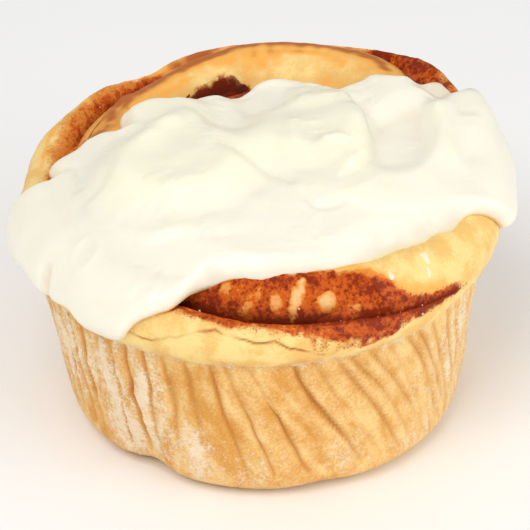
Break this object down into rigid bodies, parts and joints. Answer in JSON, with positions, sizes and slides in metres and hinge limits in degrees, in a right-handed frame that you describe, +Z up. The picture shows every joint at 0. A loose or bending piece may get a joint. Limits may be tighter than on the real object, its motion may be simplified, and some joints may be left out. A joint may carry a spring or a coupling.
{
  "type": "cinnamon roll",
  "caption": "Round roll of baked dough coiled round a cinnamon filling, with a tapering pleated side from its baking cup and thick icing spread over the top.",
  "frame": {"origin": "on the flat base, under the middle of the coil", "axes": "+Z up from the base, -Y towards the front, where the outer groove of the coil shows below the icing"},
  "size_m": [0.0927, 0.0888, 0.0562],
  "materials": {
    "dough": "baked golden dough, matt, darker on the crown and in the pleats",
    "filling": "grainy cinnamon and sugar, dark red brown",
    "icing": "soft cream icing with a slight sheen"
  },
  "bodies": {
    "root": {"dough": "dough", "filling": "filling", "icing": "icing"}
  },
  "joints": []
}
